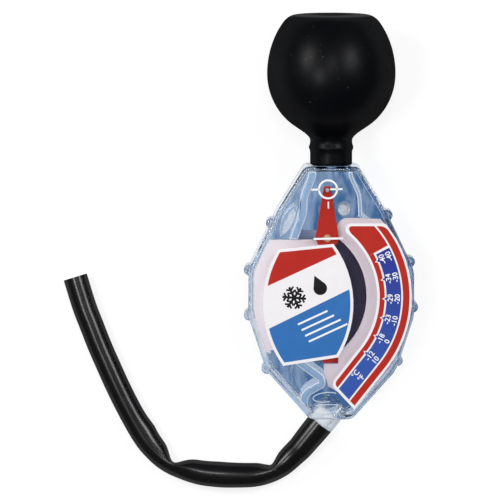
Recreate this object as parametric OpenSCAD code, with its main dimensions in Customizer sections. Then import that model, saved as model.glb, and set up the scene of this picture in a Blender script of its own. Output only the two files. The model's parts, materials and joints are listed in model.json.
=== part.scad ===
// Dial antifreeze tester with a squeeze bulb, a clear two-part case and a pick-up hose, lying face up.
// The case is drawn in its own frame: x across the dial, y up the long axis from the shoulder under the
// bulb, z out of the dial, with the parting plane at z = 0. lay() then sets it on the bench, where it
// rests on the side of the bulb and on its lower rear edge.

/* [Bulb] */
// Largest radius of the squeeze bulb
bulb_r = 25.6; // [23:0.1:28]
// Height of the bulb above its widest ring
bulb_up = 24.4; // [22:0.1:26]
// Height of the full dome that the flat crown cuts off
dome_up = 31; // [29:0.5:36]
// Radius of the flat crown
crown_r = 14; // [10:0.1:14.4]
// Thickness of the stiff crown
crown_t = 4.6; // [3.6:0.1:6]
// Depth of the dish under the crown
crown_dish = 2; // [1:0.1:2.6]
// Rubber wall of the bulb
bulb_wall = 2.2; // [1.6:0.1:3]
// Height of the widest ring above the shoulder
bulb_height = 36.4; // [34:0.1:42]
// Outer radius of the bulb's neck
neck_r = 8.4; // [8.2:0.1:9.6]
// Length of the bulb's neck
neck_l = 10.2; // [9.5:0.1:11]
// Height of the bead round the bulb's neck
bead_h = 0.5; // [0.2:0.1:1]

/* [Case] */
// Thickness of the case, front to back
case_t = 20; // [19:0.1:23]
// Length of the case below the shoulder
case_l = 101.6; // [100:0.1:106]
// Width of the shoulder edge
shoulder_w = 21.6; // [20:0.1:24]
// Width at the upper corners
upper_w = 43.2; // [42:0.1:45]
// Drop from the shoulder to the upper corners
upper_drop = 17.6; // [16.5:0.1:18.5]
// Largest width, across the sides
case_w = 66.2; // [65:0.1:70]
// Drop from the shoulder to the straight sides
side_drop = 41.6; // [40.5:0.1:44]
// Length of the straight sides
side_l = 18.5; // [15:0.1:20]
// Width at the lower corners
lower_w = 52; // [51:0.1:55]
// Drop from the shoulder to the lower corners
lower_drop = 81.8; // [80.5:0.1:83]
// Width of the bottom edge
foot_w = 16.8; // [15.5:0.1:20]
// Side wall
wall = 2; // [1.4:0.1:2.4]
// Front and rear face
face_t = 2; // [1.6:0.1:2.4]
// Chamfer round the front and rear face
edge = 0.8; // [0.5:0.1:0.9]
// Radius of the locating bosses along the sides
boss_r = 2.2; // [1.8:0.1:2.6]
// How far the bosses on the right sit above their mean place, and those on the left below it
boss_skew = 1.6; // [0:0.1:2]
// Half height of a locating boss
boss_h = 4; // [3.4:0.1:6]
// Radius of the locating pins
peg_r = 0.9; // [0.6:0.1:1.1]
// Length of the locating pins
peg_l = 2.6; // [1.5:0.1:3]
// Thickness of the left chamber wall
rib_t = 3.2; // [2.4:0.1:3.4]
// Thickness of the right chamber wall
thin_rib_t = 1.6; // [1.2:0.1:2]

/* [Neck spigot] */
// Outer radius of the spigot inside the bulb's neck
spigot_r = 6.2; // [5.6:0.1:6.4]
// Bore of the spigot
spigot_bore_r = 4.4; // [3.5:0.1:4.8]
// Length of the spigot above the shoulder
spigot_l = 13; // [11.5:0.1:15]
// Height of the barb on the spigot
barb_h = 0.5; // [0.2:0.1:0.7]

/* [Nozzle and hose] */
// Lean of the nozzle, to the left of straight down
nozzle_lean = 39; // [34:1:44]
// Place of the nozzle's collar face across the case
nozzle_x = -4; // [-5.5:0.1:-2.5]
// Drop of the collar face below the bottom edge
nozzle_drop = 3; // [2:0.1:5]
// Radius of the nozzle's collar
collar_r = 5.6; // [5.4:0.1:6.4]
// Radius of the spigot inside the hose
nozzle_r = 4; // [3.8:0.1:4.2]
// Bore of the nozzle
nozzle_bore_r = 2.4; // [1.8:0.1:2.8]
// Length of the spigot inside the hose
nozzle_l = 11; // [8:0.1:12]
// Outer diameter of the hose
hose_d = 9.8; // [9:0.1:9.9]
// Bore of the hose
hose_bore = 6.4; // [5:0.1:7]

/* [Dial] */
// Place of the float's pivot across the case
pivot_x = -14.8; // [-15.4:0.1:-14.2]
// Drop from the shoulder to the float's pivot
pivot_drop = 52.2; // [51.6:0.1:52.8]
// Radius of the reading window's outer edge
window_r = 29; // [28.6:0.1:30]
// Thickness of the dial plates
plate_t = 1.5; // [1:0.1:1.8]
// Rear face of the dial plates above the parting plane
plate_z = 4.4; // [4:0.1:4.8]
// Radius of the posts that carry the plates
post_r = 1.6; // [1.2:0.1:1.8]
// Thickness of the dark backing card
card_t = 0.5; // [0.3:0.1:0.8]
// Thickness of the stickers
label_t = 0.15; // [0.1:0.05:0.3]
// Inner radius of the scale sticker
scale_in_r = 33.1; // [32.4:0.1:34]
// Outer radius of the scale sticker
scale_out_r = 46.9; // [45:0.1:46.9]

/* [Float and pointer] */
// Reach of the pointer from its pivot
pointer_l = 31.5; // [29:0.1:32]
// Angle of the pointer at rest, from straight right
pointer_rest = -60.6; // [-62:0.1:-58]
// Sweep of the pointer from its rest to its upper stop
pointer_sweep = 88; // [80:1:90]
// Thickness of the pointer
pointer_t = 1; // [0.8:0.1:1.4]
// Width of the pointer's arm
arm_w = 3; // [2.4:0.1:4]
// Width of the pointer's head
head_w = 6.2; // [4.5:0.1:7]
// Length of the pointer's tail
tail_l = 8; // [6.5:0.1:8.4]
// Radius of the pointer's hub
hub_r = 2.3; // [1.8:0.1:2.4]
// Length of the float block
float_l = 10.6; // [8:0.1:11]
// Width of the float block
float_w = 9; // [7:0.1:9.6]
// Thickness of the float block
float_t = 4.8; // [3:0.1:5]
// Radius of the balance weight
weight_r = 1.7; // [1.2:0.1:1.9]
// Radius of the two pivot pins
pin_r = 0.75; // [0.6:0.05:0.9]

/* [Plumb bob] */
// Place of the plumb bob's pivot across the case
plumb_x = -1.6; // [-2:0.1:-1.2]
// Drop from the shoulder to the plumb bob's pivot
plumb_drop = 9.4; // [9:0.1:10]
// Reach of the plumb bob below its pivot
plumb_l = 22; // [20:0.1:23]
// Width of the plumb bob at its foot
plumb_w = 9.4; // [7:0.1:9.8]
// Thickness of the plumb bob
plumb_t = 1.2; // [0.8:0.1:1.3]
// Swing of the plumb bob to each side
plumb_swing = 8; // [6:0.5:9]

/* [Fits] */
// Running clearance of a part on its pivot pin
run_gap = 0.05; // [0.02:0.01:0.1]
// Clearance between moving parts and the case
move_gap = 0.3; // [0.2:0.05:0.4]
// Clearance of parts pushed or set into each other
seat_gap = 0.1; // [0.05:0.01:0.15]

/* [Hidden] */
$fn = 96;
// Largest turn between two points of a rounded corner, in degrees
arc_step = 6;
// Room that a cut takes past a face
over = 1;
// Least corner radius of an outline drawn in
least_r = 0.5;

// Half outline of the case from the bottom edge to the shoulder: x, y and corner radius
half_outline = [
  [foot_w / 2, -case_l, 5],
  [lower_w / 2, -lower_drop, 12],
  [case_w / 2, -side_drop - side_l, 12],
  [case_w / 2, -side_drop, 12],
  [upper_w / 2, -upper_drop, 14],
  [shoulder_w / 2, 0, 3]];
outline = concat(half_outline, [for (i = [len(half_outline) - 1:-1:0]) flip(half_outline[i])]);
// Mean drops of the locating bosses; they are staggered, so the halves go together one way only
boss_drops = [21.6, 40.4, 58.6, 80.2];
boss_in = 0.4;
// Room at the bottom of a locating pin's hole
peg_room = 0.4;
half_t = case_t / 2;
inside_z = half_t - face_t;

pivot = [pivot_x, -pivot_drop];
plumb = [plumb_x, -plumb_drop];
nozzle = [nozzle_x, -case_l - nozzle_drop];
nozzle_turn = -90 - nozzle_lean;
collar_l = 11;
bead_y = 7;
bead_w = 2.4;

// Profile of the bulb: steps of its dome, round of the crown's rim, and heights from the widest ring
dome_steps = 9;
crown_edge = 1.6;
// The crown's rim rounds over through a point this far outside its straight bevel and below the top
crown_full = [0.6, 0.5];
split_y = bulb_up - crown_t;
cone_y = -18.4;
// Barb on the spigot: its foot below the spigot's end, and its ridge
barb_foot = 4;
barb_ridge = 3;
// Height of the bulb's straight bore above the spigot
bore_rise = 2;

// Tilt on the bench: the line from the lower rear edge that touches the ball of the bulb
rest_run = bulb_height + case_l - edge;
tilt = asin(bulb_r / norm([rest_run, half_t])) - atan2(half_t, rest_run);
lift = bulb_r - bulb_height * sin(tilt);
// Ends of the part along the bench, without the hose, so that the origin lies midway
top_end = max([for (p = bulb_outer()) p.y * cos(tilt) + p.x * sin(tilt)]);
nozzle_tip = nozzle + nozzle_l * ray(nozzle_turn);
low_end = nozzle_tip.y * cos(tilt) - nozzle_r * norm([cos(nozzle_turn) * cos(tilt), sin(tilt)]);
mid_y = (top_end + low_end) / 2;

// Hand-laid route of the hose on the bench, from the nozzle's tip to the open end: x, y, z
hose_route = [
  [-15.2, -90.4, 7.6],
  [-18.8, -93.6, 7],
  [-22.6, -95.9, 6.5],
  [-25.4, -97.1, 6.1],
  [-28.4, -98, 5.8],
  [-32, -98.6, 5.5],
  [-37, -98.8, 5.2],
  [-43, -98.8, 5],
  [-48, -98.4, 5],
  [-52, -97.8, 5],
  [-56, -96.7, 5],
  [-60, -95.2, 5],
  [-63.4, -93.7, 5],
  [-66.8, -91.6, 5],
  [-70, -88.8, 5],
  [-74, -84.3, 5],
  [-78, -77.9, 5],
  [-82.2, -70.1, 5],
  [-86.1, -62.2, 5],
  [-89.7, -54.2, 5],
  [-93.2, -46.2, 5],
  [-96.3, -38.3, 5],
  [-99.4, -30.2, 5],
  [-103, -18.6, 5]];
hose_sides = 12;
cuff_wall = 1.45;
// The cuff ends just past the nozzle's tip, and the hose runs straight a little further
cuff_past = 0.4;
hose_straight = 1.5;
cuff_r = nozzle_r + seat_gap + cuff_wall;

// Direction at an angle
function ray(a) = [cos(a), sin(a)];
function unit(v) = v / norm(v);
// A corner on the other side of the long axis
function flip(p) = [-p.x, p.y, p[2]];
// Arc of points round a centre
function arc(c, r, from, to) =
  let (n = ceil(abs(to - from) / arc_step)) [for (i = [0:n]) c + r * ray(from + (to - from) * i / n)];
// A corner b between a and c, rounded with radius r
function fillet(a, b, c, r) =
  let (
    u = unit(a - b),
    v = unit(c - b),
    half = acos(u * v) / 2,
    centre = b + unit(u + v) * r / sin(half),
    start = u * r / tan(half) + b - centre,
    from = atan2(start.y, start.x),
    sweep = (180 - 2 * half) * sign(cross(b - a, c - b)))
  arc(centre, r, from, from + sweep);
function flat(p) = [p.x, p.y];
// Closed outline with its corners rounded, and an open path likewise
function rounded(p) = let (n = len(p)) [for (i = [0:n - 1])
  each fillet(flat(p[(i + n - 1) % n]), flat(p[i]), flat(p[(i + 1) % n]), p[i][2])];
function rounded_path(p) = let (n = len(p)) concat([flat(p[0])],
  [for (i = [1:n - 2]) each fillet(flat(p[i - 1]), flat(p[i]), flat(p[i + 1]), p[i][2])], [flat(p[n - 1])]);
// Unit normal on the left of the leg from a to b
function normal(a, b) = let (u = unit(b - a)) [-u.y, u.x];
// Convex outline drawn in by d
function inset(p, d) = let (n = len(p)) [for (i = [0:n - 1])
  let (
    b = flat(p[i]),
    m = normal(flat(p[(i + n - 1) % n]), b),
    k = normal(b, flat(p[(i + 1) % n])),
    q = b + (m + k) * d / (1 + m * k))
  [q.x, q.y, max(least_r, p[i][2] - d)]];
// Path moved sideways by d, and a strip of width w along it
function beside(p, d) = let (n = len(p)) [for (i = [0:n - 1])
  let (
    m = normal(p[max(i - 1, 0)], p[max(i, 1)]),
    k = normal(p[min(i, n - 2)], p[min(i + 1, n - 1)]))
  p[i] + (m + k) * d / (1 + m * k)];
function reverse(p) = [for (i = [len(p) - 1:-1:0]) p[i]];
function strip(p, w) = concat(beside(p, w / 2), reverse(beside(p, -w / 2)));
// Side of a sticker that bulges to the right of the leg from a to b by s
function bulge(a, b, s) =
  let (
    h = norm(b - a) / 2,
    r = (h * h + s * s) / (2 * s),
    c = (a + b) / 2 + normal(a, b) * (r - s),
    from = atan2(a.y - c.y, a.x - c.x))
  arc(c, r, from, from + 2 * asin(h / r));

// Outer radius of the bulb at a height above its widest ring
function dome(y) = bulb_r * sqrt(1 - pow(y / dome_up, 2));
// Outer profile of the bulb's wall, from the neck's rim to the crown: radius and height
function bulb_skirt() = concat(
  [[neck_r, 0], [neck_r, bead_y - bead_w / 2], [neck_r + bead_h, bead_y], [neck_r, bead_y + bead_w / 2],
    [neck_r, neck_l], [neck_r + bead_h, neck_l + bead_h]],
  arc([0, bulb_height], bulb_r, asin(cone_y / bulb_r), 0),
  [for (i = [1:dome_steps]) let (y = split_y * i / dome_steps) [dome(y), bulb_height + y]]);
function crown_rim() = [
  for (y = [split_y, (split_y + bulb_up - crown_edge) / 2, bulb_up - crown_edge]) [dome(y), bulb_height + y]];
function crown_round() = [
  [(dome(bulb_up - crown_edge) + crown_r) / 2 + crown_full.x, bulb_height + bulb_up - crown_full.y],
  [crown_r, bulb_height + bulb_up]];
function bulb_outer() = concat(bulb_skirt(), crown_rim(), crown_round());
// Spigot in the bulb's neck, grown by g: radius and height
function spigot_profile(g) = [[spigot_r + g, -wall], [spigot_r + g, spigot_l - barb_foot],
  [spigot_r + barb_h + g, spigot_l - barb_ridge], [spigot_r + g, spigot_l + g]];

// Bench frame: tilted onto the bulb and the lower rear edge, with the origin midway underneath
module lay() { translate([0, -mid_y, lift]) rotate([tilt, 0, 0]) children(); }
module turned(profile) { rotate([-90, 0, 0]) rotate_extrude() polygon(profile); }
module slab(p, z0, z1) { translate([0, 0, z0]) linear_extrude(z1 - z0) polygon(p); }
module rod(p, r, z0, z1) { translate([p.x, p.y, z0]) cylinder(r = r, h = z1 - z0); }
// Half space in front of the parting plane
module front_half() {
  intersection() {
    children();
    translate([-case_w, -2 * case_l, 0]) cube([2 * case_w, 3 * case_l, case_t]);
  }
}
// Half width of the case at a height, and places of the locating bosses
function edge_x(y) = lookup(y, [for (p = half_outline) [p.y, p.x]]);
function boss_places() = [for (drop = boss_drops, side = [1, -1])
  let (y = side * boss_skew - drop) [side * (edge_x(y) - boss_in), y]];

// One half of the case in front of the parting plane, without what is particular to front or rear
module case_half() {
  difference() {
    union() {
      difference() {
        hull() {
          slab(rounded(outline), 0, half_t - edge);
          slab(rounded(inset(outline, edge)), 0, half_t);
        }
        slab(rounded(inset(outline, wall)), -over, inside_z);
      }
      for (p = boss_places()) rod(p, boss_r, 0, boss_h);
      front_half() {
        turned(concat([[0, -wall]], spigot_profile(0), [[0, spigot_l]]));
        along_nozzle(-collar_l, 0) cylinder(r = collar_r, h = collar_l);
        along_nozzle(-over, 0) cylinder(r = nozzle_r, h = nozzle_l + over);
      }
    }
    turned([[0, -wall - over], [spigot_bore_r, -wall - over], [spigot_bore_r, spigot_l + over],
      [0, spigot_l + over]]);
    along_nozzle(-collar_l - over, 0) cylinder(r = nozzle_bore_r, h = collar_l + nozzle_l + 2 * over);
  }
}
// Frame along the nozzle's axis, s past the collar's face and z off the parting plane
module along_nozzle(s, z) {
  translate(concat(nozzle + s * ray(nozzle_turn), z)) rotate([0, 90, nozzle_turn]) children();
}

module squeeze_bulb() {
  hollow = concat(
    spigot_profile(seat_gap), [[spigot_r + seat_gap, spigot_l + bore_rise]],
    arc([0, bulb_height], bulb_r - bulb_wall, asin(cone_y / bulb_r), 0),
    [for (i = [1:dome_steps]) let (y = split_y * i / dome_steps) [dome(y) - bulb_wall, bulb_height + y]],
    [[dome(split_y) - bulb_wall, bulb_height + split_y + over], [0, bulb_height + split_y + over],
      [0, -wall]]);
  color("#17171a") lay() difference() {
    turned(concat(bulb_skirt(), [[0, bulb_height + split_y], [0, 0]]));
    turned(hollow);
  }
}
module bulb_crown() {
  dish_r = dome(split_y) - bulb_wall;
  color("#17171a") lay() difference() {
    turned(concat([[0, bulb_height + split_y]], crown_rim(), crown_round(), [[0, bulb_height + bulb_up]]));
    turned([[0, bulb_height + split_y - over], [dish_r, bulb_height + split_y - over],
      [dish_r, bulb_height + split_y], [dish_r - 2 * crown_dish, bulb_height + split_y + crown_dish],
      [0, bulb_height + split_y + crown_dish]]);
  }
}

// Posts that carry the two dial plates, by place in the case
dial_posts = [[-21.5, -38.5], [-22.5, -66.5], [-4, -37.6]];
scale_posts = [[14, -28], [22, -50], [14, -77]];
plate_gap = 0.5;
plate_top = plate_z + plate_t;
// Plumb bob: room in front of it, width at its top, ear above the pivot and height of its blunt toe
plumb_room = 0.4;
plumb_z = inside_z - plumb_room - plumb_t;
plumb_top_w = 2.8;
plumb_ear = 1.4;
plumb_toe = 2.4;
plumb_head_t = 0.6;
plumb_hole = 1.4;
// Lean of the plumb bob's sides, and their distance from its pivot
side_lean = atan2((plumb_w - plumb_top_w) / 2, plumb_l - plumb_toe + plumb_ear);
side_off = plumb_top_w / 2 * cos(side_lean) + plumb_ear * sin(side_lean);
// Stop on the front shell that the bob's right side meets, just past its full swing
stop_r = 2.4;
stop_drop = 7.8;
stop_gap = 0.1;
// Its round end, by height, its blunt tip, and the length of its taper
stop_z = 1;
stop_tip_r = 1.2;
stop_taper = 1.6;
stop_lean = side_lean + plumb_swing;
stop_right = (side_off + stop_r + stop_gap + stop_drop * sin(stop_lean)) / cos(stop_lean);
plumb_stop = plumb + [stop_right, -stop_drop];

module front_shell() {
  color("#a9c2dc", 0.45) lay() {
    difference() {
      union() {
        case_half();
        for (p = concat(dial_posts, scale_posts)) rod(p, post_r, plate_top, inside_z + over);
        translate(concat(plumb_stop, 0)) rotate_extrude() polygon([[0, stop_z], [stop_tip_r, stop_z],
          [stop_r, stop_z + stop_taper], [stop_r, inside_z + over], [0, inside_z + over]]);
        for (p = boss_places()) rod(p, peg_r, -peg_l, over);
      }
      rod(plumb, pin_r, plumb_z - over, inside_z + plumb_hole);
    }
  }
}

// Chamber walls behind the dial, by centreline: x, y and corner radius
left_rib = [[-7.6, -wall / 2, 0], [-7.6, -4, 5], [-11, -12.6, 8], [-11.2, -19, 10], [-16.4, -33, 14],
  [-27.4, -46, 10], [-27.4, -67.6, 10], [-2, -86.6, 1.9], [-10.6, -91.6, 4], [-10.8, -97, 0]];
right_rib = [[7.6, -wall / 2, 0], [7.6, -4, 5], [11, -11.6, 8], [11.6, -22, 4], [24, -24.6, 0]];
rib_top = inside_z - seat_gap;
// Leaf-shaped rib at the left shoulder
leaf = [-17.2, -21.6];
leaf_l = 14.4;
leaf_w = 4.6;
leaf_turn = 65;
leaf_wall = 1;
leaf_end = 2.4;
module leaf_shape(l, w) {
  r = (l * l + w * w) / (4 * w);
  intersection() {
    translate([0, r - w / 2]) circle(r);
    translate([0, w / 2 - r]) circle(r);
  }
}
// Boss and stops of the pointer
pivot_boss_r = 2.6;
hub_low = -3;
pin_hole = 4.4;
stop_peg_r = 1.2;
stop_reach = 16;
pointer_z = 2;
hub_top = plate_z - move_gap;
// Place of a pointer stop: the pointer's angle there and the side that it stops, 1 left or -1 right
function stop_place(a, side) =
  pivot + stop_reach * ray(a) + side * (arm_w / 2 + stop_peg_r + move_gap) * ray(a + 90);

module rear_shell() {
  color("#8fb0d2", 0.55) lay() {
    difference() {
      union() {
        mirror([0, 0, 1]) case_half();
        intersection() {
          union() {
            slab(strip(rounded_path(left_rib), rib_t), -inside_z - over, rib_top);
            slab(strip(rounded_path(right_rib), thin_rib_t), -inside_z - over, rib_top);
            translate([leaf.x, leaf.y, -inside_z - over]) rotate([0, 0, leaf_turn])
              linear_extrude(inside_z + over + rib_top) difference() {
                leaf_shape(leaf_l, leaf_w);
                leaf_shape(leaf_l - 2 * leaf_end, leaf_w - 2 * leaf_wall);
              }
          }
          union() {
            slab(rounded(inset(outline, wall + seat_gap)), -case_t, case_t);
            slab(rounded(inset(outline, wall / 2)), -case_t, 0);
          }
        }
        for (p = concat(dial_posts, scale_posts)) rod(p, post_r, -inside_z - over, plate_z);
        rod(pivot, pivot_boss_r, -inside_z - over, hub_low - move_gap);
        for (p = [stop_place(pointer_rest, -1), stop_place(pointer_rest + pointer_sweep, 1)])
          rod(p, stop_peg_r, -inside_z - over, pointer_z + pointer_t);
      }
      plate_pocket();
      for (p = boss_places()) {
        rod(p, peg_r + seat_gap, -peg_l - peg_room, over);
        rod(p, boss_r + seat_gap, 0, case_t);
      }
      rod(pivot, pin_r, hub_low - move_gap - pin_hole, hub_low);
      turned([[0, -wall - over], [spigot_bore_r, -wall - over], [spigot_bore_r, over], [0, over]]);
      along_nozzle(-collar_l - over, 0) cylinder(r = nozzle_bore_r, h = collar_l + over);
    }
  }
}
// Room for the dial plates above the chamber walls
module plate_pocket() {
  slab([[-case_w, dial_top + plate_gap], [case_w, dial_top + plate_gap], [case_w, -case_l],
    [scale_foot.x - plate_gap, -case_l], scale_foot - [plate_gap, 0], scale_heel - [plate_gap, 0],
    [scale_heel.x - plate_gap, dial_foot - plate_gap], [-case_w, dial_foot - plate_gap]], plate_z, case_t);
  slab([[scale_left - plate_gap, scale_top + plate_gap], [case_w, scale_top + plate_gap],
    [case_w, -case_l / 2], [scale_left - plate_gap, -case_l / 2]], plate_z, case_t);
}

// Edges of the two plates in the case
dial_top = -29.6;
dial_foot = -74;
dial_right = 2.4;
dial_in_r = 20;
// The dial plate's curved edge: a small step at its upper end, the angles it spans, where it meets the foot
dial_step = [2.6, 5];
dial_arc_angles = [50, -70];
dial_heel_x = -10;
scale_top = -20.8;
scale_left = 2.4;
// The reading window's outer edge: the angles that it spans round the pivot
window_top_angle = 52;
window_low_angle = -52;
// Notch below it that shows the resting pointer's head, and the foot of the scale plate
notch_right = 3;
notch_low = -79.6;
scale_heel = [-2.8, -82.8];
scale_foot = [-1, -88.6];
scale_toe = [10, -95];
// The scale plate ends this far inside its sticker
scale_plate_in = 0.6;
scale_plate_angles = [-42, 42];
module plate(p) {
  translate([0, 0, plate_z]) linear_extrude(plate_t) intersection() {
    polygon(rounded(inset(outline, wall + plate_gap)));
    polygon(p);
  }
}
module dial_plate() {
  color("#e1d5de") lay() difference() {
    plate(concat([[-case_w, dial_top], [dial_right, dial_top], [dial_right, dial_top] - dial_step],
      arc(pivot, dial_in_r, dial_arc_angles[0], dial_arc_angles[1]),
      [[dial_heel_x, dial_foot], [-case_w, dial_foot]]));
    rod(pivot, pin_r, plate_z - over, plate_top + over);
  }
}
module scale_plate() {
  corner_r = 4;
  corner_angles = [90, 200];
  color("#e1d5de") lay()
    plate(concat(
      arc([scale_left + corner_r, scale_top - corner_r], corner_r, corner_angles[0], corner_angles[1]),
      arc(pivot, window_r, window_top_angle, window_low_angle),
      [[notch_right, notch_low], [scale_heel.x, notch_low], scale_heel, scale_foot, scale_toe],
      arc(pivot, scale_out_r - scale_plate_in, scale_plate_angles[0], scale_plate_angles[1])));
}

card_in_r = 20.5;
card_past = 2;
card_top = -27.4;
card_angles = [-72, 84];
module backing_card() {
  color("#2d2d41") lay() translate([0, 0, -inside_z]) linear_extrude(card_t) intersection() {
    polygon(concat(arc(pivot, window_r + card_past, card_angles[0], card_angles[1]),
      arc(pivot, card_in_r, card_angles[1], card_angles[0])));
    translate([-case_w, -case_l]) square([2 * case_w, case_l + card_top]);
  }
}

// Corners of the name sticker, from the upper left round to the lower left
name_corners = [[-21.2, -33], [0.8, -30.8], [2.8, -76.4], [-19.2, -79.8]];
name_bulge = 7;
module name_label() {
  color("white") lay() slab(concat(
    reverse(bulge(name_corners[2], name_corners[1], name_bulge)),
    reverse(bulge(name_corners[0], name_corners[3], name_bulge))), half_t, half_t + label_t);
}
// The scale sticker bends round the pivot and ends in a straight tail
scale_rise = 29.6;
scale_cut = 20.4;
// Its tail's outer and inner side, and the round of the inner corner
scale_tail = 20.8;
scale_tail_in = 18.6;
scale_toe_r = 3;
// Angles round the pivot where its outer edge starts and where its tail starts, and of its head's round
scale_start_angle = 30;
scale_bend_angle = -38;
scale_head_angle = 5;
module scale_label() {
  along = ray(scale_bend_angle - 90);
  corner_in = 2.3;
  corner_out = 2.5;
  corner_angle = acos(scale_cut / scale_in_r);
  out_x = sqrt(pow(scale_out_r, 2) - pow(scale_rise, 2));
  outer = arc([0, 0], scale_out_r, scale_start_angle, scale_bend_angle);
  inner = arc([0, 0], scale_in_r, scale_bend_angle, corner_angle - scale_head_angle);
  head = [concat(last(inner), 0), concat(scale_in_r * ray(corner_angle), corner_in),
    [scale_cut, scale_rise, corner_in], [out_x, scale_rise, corner_out], concat(outer[0], 0)];
  toe = [concat(last(outer) + scale_tail * along, 0), concat(inner[0] + scale_tail_in * along, scale_toe_r),
    concat(inner[0], 0)];
  color("white") lay() slab([for (p = concat(rounded_path(head), outer, rounded_path(toe), inner)) pivot + p],
    half_t, half_t + label_t);
}
function last(p) = p[len(p) - 1];

// Frame of the pointer: x out along it from the pivot
module at_pointer() { translate(concat(pivot, 0)) rotate([0, 0, pointer_rest]) children(); }
head_l = 7;
neck_taper = 2;
float_at = 8;
weight_t = 3;
weight_at = tail_l - weight_r;
module pointer() {
  arm_round = 1;
  head_round = 0.8;
  head_at = pointer_l - head_l;
  // The head's end lies level while the pointer rests
  slant = head_w / 2 / tan(-pointer_rest);
  lower = [[-tail_l, -arm_w / 2, arm_round], [head_at - neck_taper, -arm_w / 2, arm_round],
    [head_at, -head_w / 2, arm_round]];
  end = [[pointer_l - slant, -head_w / 2, head_round], [pointer_l + slant, head_w / 2, head_round]];
  upper = [for (p = reverse(lower)) [p.x, -p.y, p[2]]];
  color("#b83024") lay() at_pointer() difference() {
    union() {
      slab(rounded(concat(lower, end, upper)), pointer_z, pointer_z + pointer_t);
      rod([0, 0], hub_r, hub_low, hub_top);
    }
    rod([0, 0], pin_r + run_gap, hub_low - over, hub_top + over);
  }
}
module float_block() {
  half_w = float_w / 2;
  corner_r = 3;
  color("#2b2b2e") lay() at_pointer() difference() {
    slab(rounded([[float_at - float_l / 2, -half_w, corner_r], [float_at + float_l / 2, -half_w, corner_r],
      [float_at + float_l / 2, half_w, corner_r], [float_at - float_l / 2, half_w, corner_r]]),
      pointer_z - float_t, pointer_z);
    rod([0, 0], hub_r + seat_gap, pointer_z - float_t - over, pointer_z + over);
  }
}
module balance_weight() {
  color("#b5914a") lay() at_pointer() rod([-weight_at, 0], weight_r, pointer_z - weight_t, pointer_z);
}
module float_pin() {
  color("silver") lay() rod(pivot, pin_r, hub_low - move_gap - pin_hole, plate_top);
}

// Weight near the plumb bob's foot
slug_r = 1.5;
slug_at = 19.4;
module plumb_bob() {
  top_half = plumb_top_w / 2;
  foot_half = plumb_w / 2;
  toe_in = 1;
  toe_half = foot_half - toe_in;
  toe_y = plumb_toe - plumb_l;
  ear_round = 0.5;
  side_round = 1;
  toe_round = 0.6;
  color("#b83024") lay() translate(concat(plumb, 0)) difference() {
    slab(rounded([[-top_half, plumb_ear, ear_round], [-foot_half, toe_y, side_round],
      [-toe_half, -plumb_l, toe_round], [toe_half, -plumb_l, toe_round],
      [foot_half, toe_y, side_round], [top_half, plumb_ear, ear_round]]), plumb_z, plumb_z + plumb_t);
    rod([0, 0], pin_r + run_gap, plumb_z - over, plumb_z + plumb_t + over);
    rod([0, -slug_at], slug_r, plumb_z - over, plumb_z + plumb_t + over);
  }
}
module plumb_weight() {
  color("#b5914a") lay() rod(plumb - [0, slug_at], slug_r, plumb_z, plumb_z + plumb_t);
}
module plumb_pin() {
  head_r = 1.3;
  head_z = plumb_z - move_gap;
  color("silver") lay() {
    rod(plumb, pin_r, head_z, inside_z + plumb_hole);
    rod(plumb, head_r, head_z - plumb_head_t, head_z);
  }
}

// Points of the case's own plane, on the bench
function bench(p) = [p.x, p.y * cos(tilt) - mid_y, p.y * sin(tilt) + lift];
// Ring of the hose round point i of a route
function hose_ring(route, i, r) =
  let (
    n = len(route),
    along = unit(route[min(i + 1, n - 1)] - route[max(i - 1, 0)]),
    side = unit(cross(along, [0, 0, 1])),
    rise = cross(side, along))
  [for (k = [0:hose_sides - 1]) let (a = 360 * k / hose_sides)
    route[i] + r * (cos(a) * side + sin(a) * rise)];
// Two triangles for each side between ring a and ring b, by the rings' first points
function ring_band(a, b) = [for (k = [0:hose_sides - 1]) let (m = (k + 1) % hose_sides)
  each [[a + k, b + m, a + m], [a + k, b + k, b + m]]];
module pickup_hose() {
  cuff_end = nozzle_l + cuff_past;
  start = [for (s = [0, cuff_end / 2, cuff_end]) bench(nozzle + s * ray(nozzle_turn))];
  route = concat(start, [bench(nozzle + (cuff_end + hose_straight) * ray(nozzle_turn))], hose_route);
  n = len(route);
  grown = 1 / cos(180 / hose_sides);
  cuff_in = (nozzle_r + seat_gap) * grown;
  outer = [for (i = [0:n - 1]) each hose_ring(route, i, i < len(start) ? cuff_r : hose_d / 2)];
  inner = [for (i = [0:n - 1]) each hose_ring(route, i, i < len(start) ? cuff_in : hose_bore / 2)];
  m = n * hose_sides;
  last_ring = (n - 1) * hose_sides;
  color("#17171a") polyhedron(concat(outer, inner), concat(
    [for (i = [0:n - 2]) each ring_band(i * hose_sides, (i + 1) * hose_sides)],
    [for (i = [0:n - 2]) each ring_band(m + (i + 1) * hose_sides, m + i * hose_sides)],
    ring_band(m, 0),
    ring_band(last_ring, m + last_ring)));
}

squeeze_bulb();
bulb_crown();
front_shell();
rear_shell();
dial_plate();
scale_plate();
backing_card();
name_label();
scale_label();
pointer();
float_block();
balance_weight();
float_pin();
plumb_bob();
plumb_weight();
plumb_pin();
pickup_hose();
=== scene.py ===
import json
import math

import bmesh
import bpy
from mathutils import Matrix, Vector


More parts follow.
